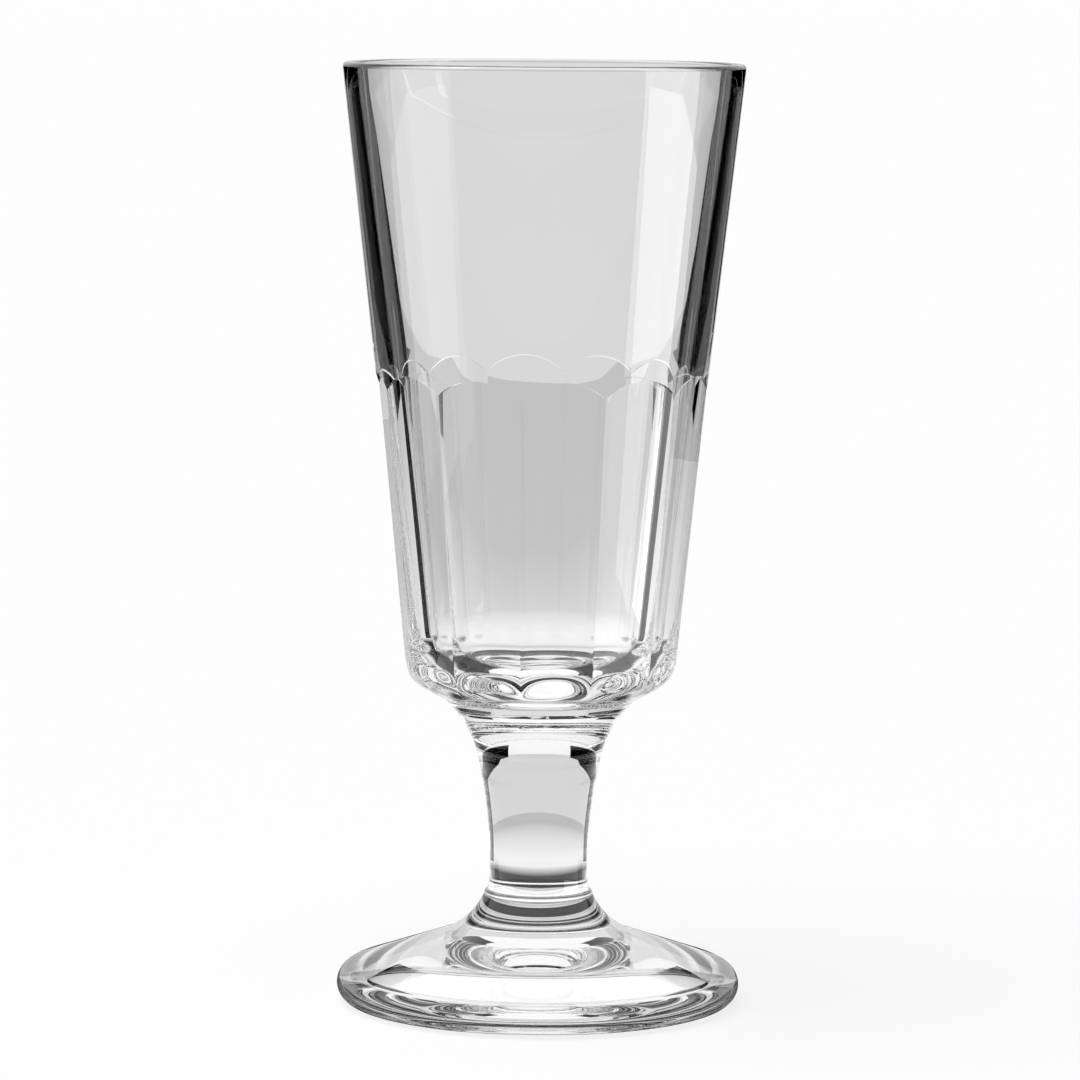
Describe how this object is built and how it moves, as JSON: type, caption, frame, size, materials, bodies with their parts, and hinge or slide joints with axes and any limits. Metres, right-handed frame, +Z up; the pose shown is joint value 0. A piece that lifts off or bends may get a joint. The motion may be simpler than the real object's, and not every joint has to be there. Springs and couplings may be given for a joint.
{
  "type": "soda glass",
  "caption": "Footed soda glass: a tapered bowl with flat flutes on its lower half, a short flared stem and a round foot, for serving cold drinks.",
  "frame": {"origin": "centre of the resting ring under the foot, on the surface that the glass stands on", "axes": "+Z up along the glass's axis from the foot to the rim; a flute edge lies on each of +X, -X, +Y and -Y"},
  "size_m": [0.077, 0.077, 0.179],
  "materials": {
    "foot_glass": "fire polished, clear",
    "stem_glass": "fire polished, clear",
    "bowl_glass": "fire polished, clear"
  },
  "bodies": {
    "root": {"foot": "foot_glass", "stem": "stem_glass", "bowl": "bowl_glass"}
  },
  "joints": []
}
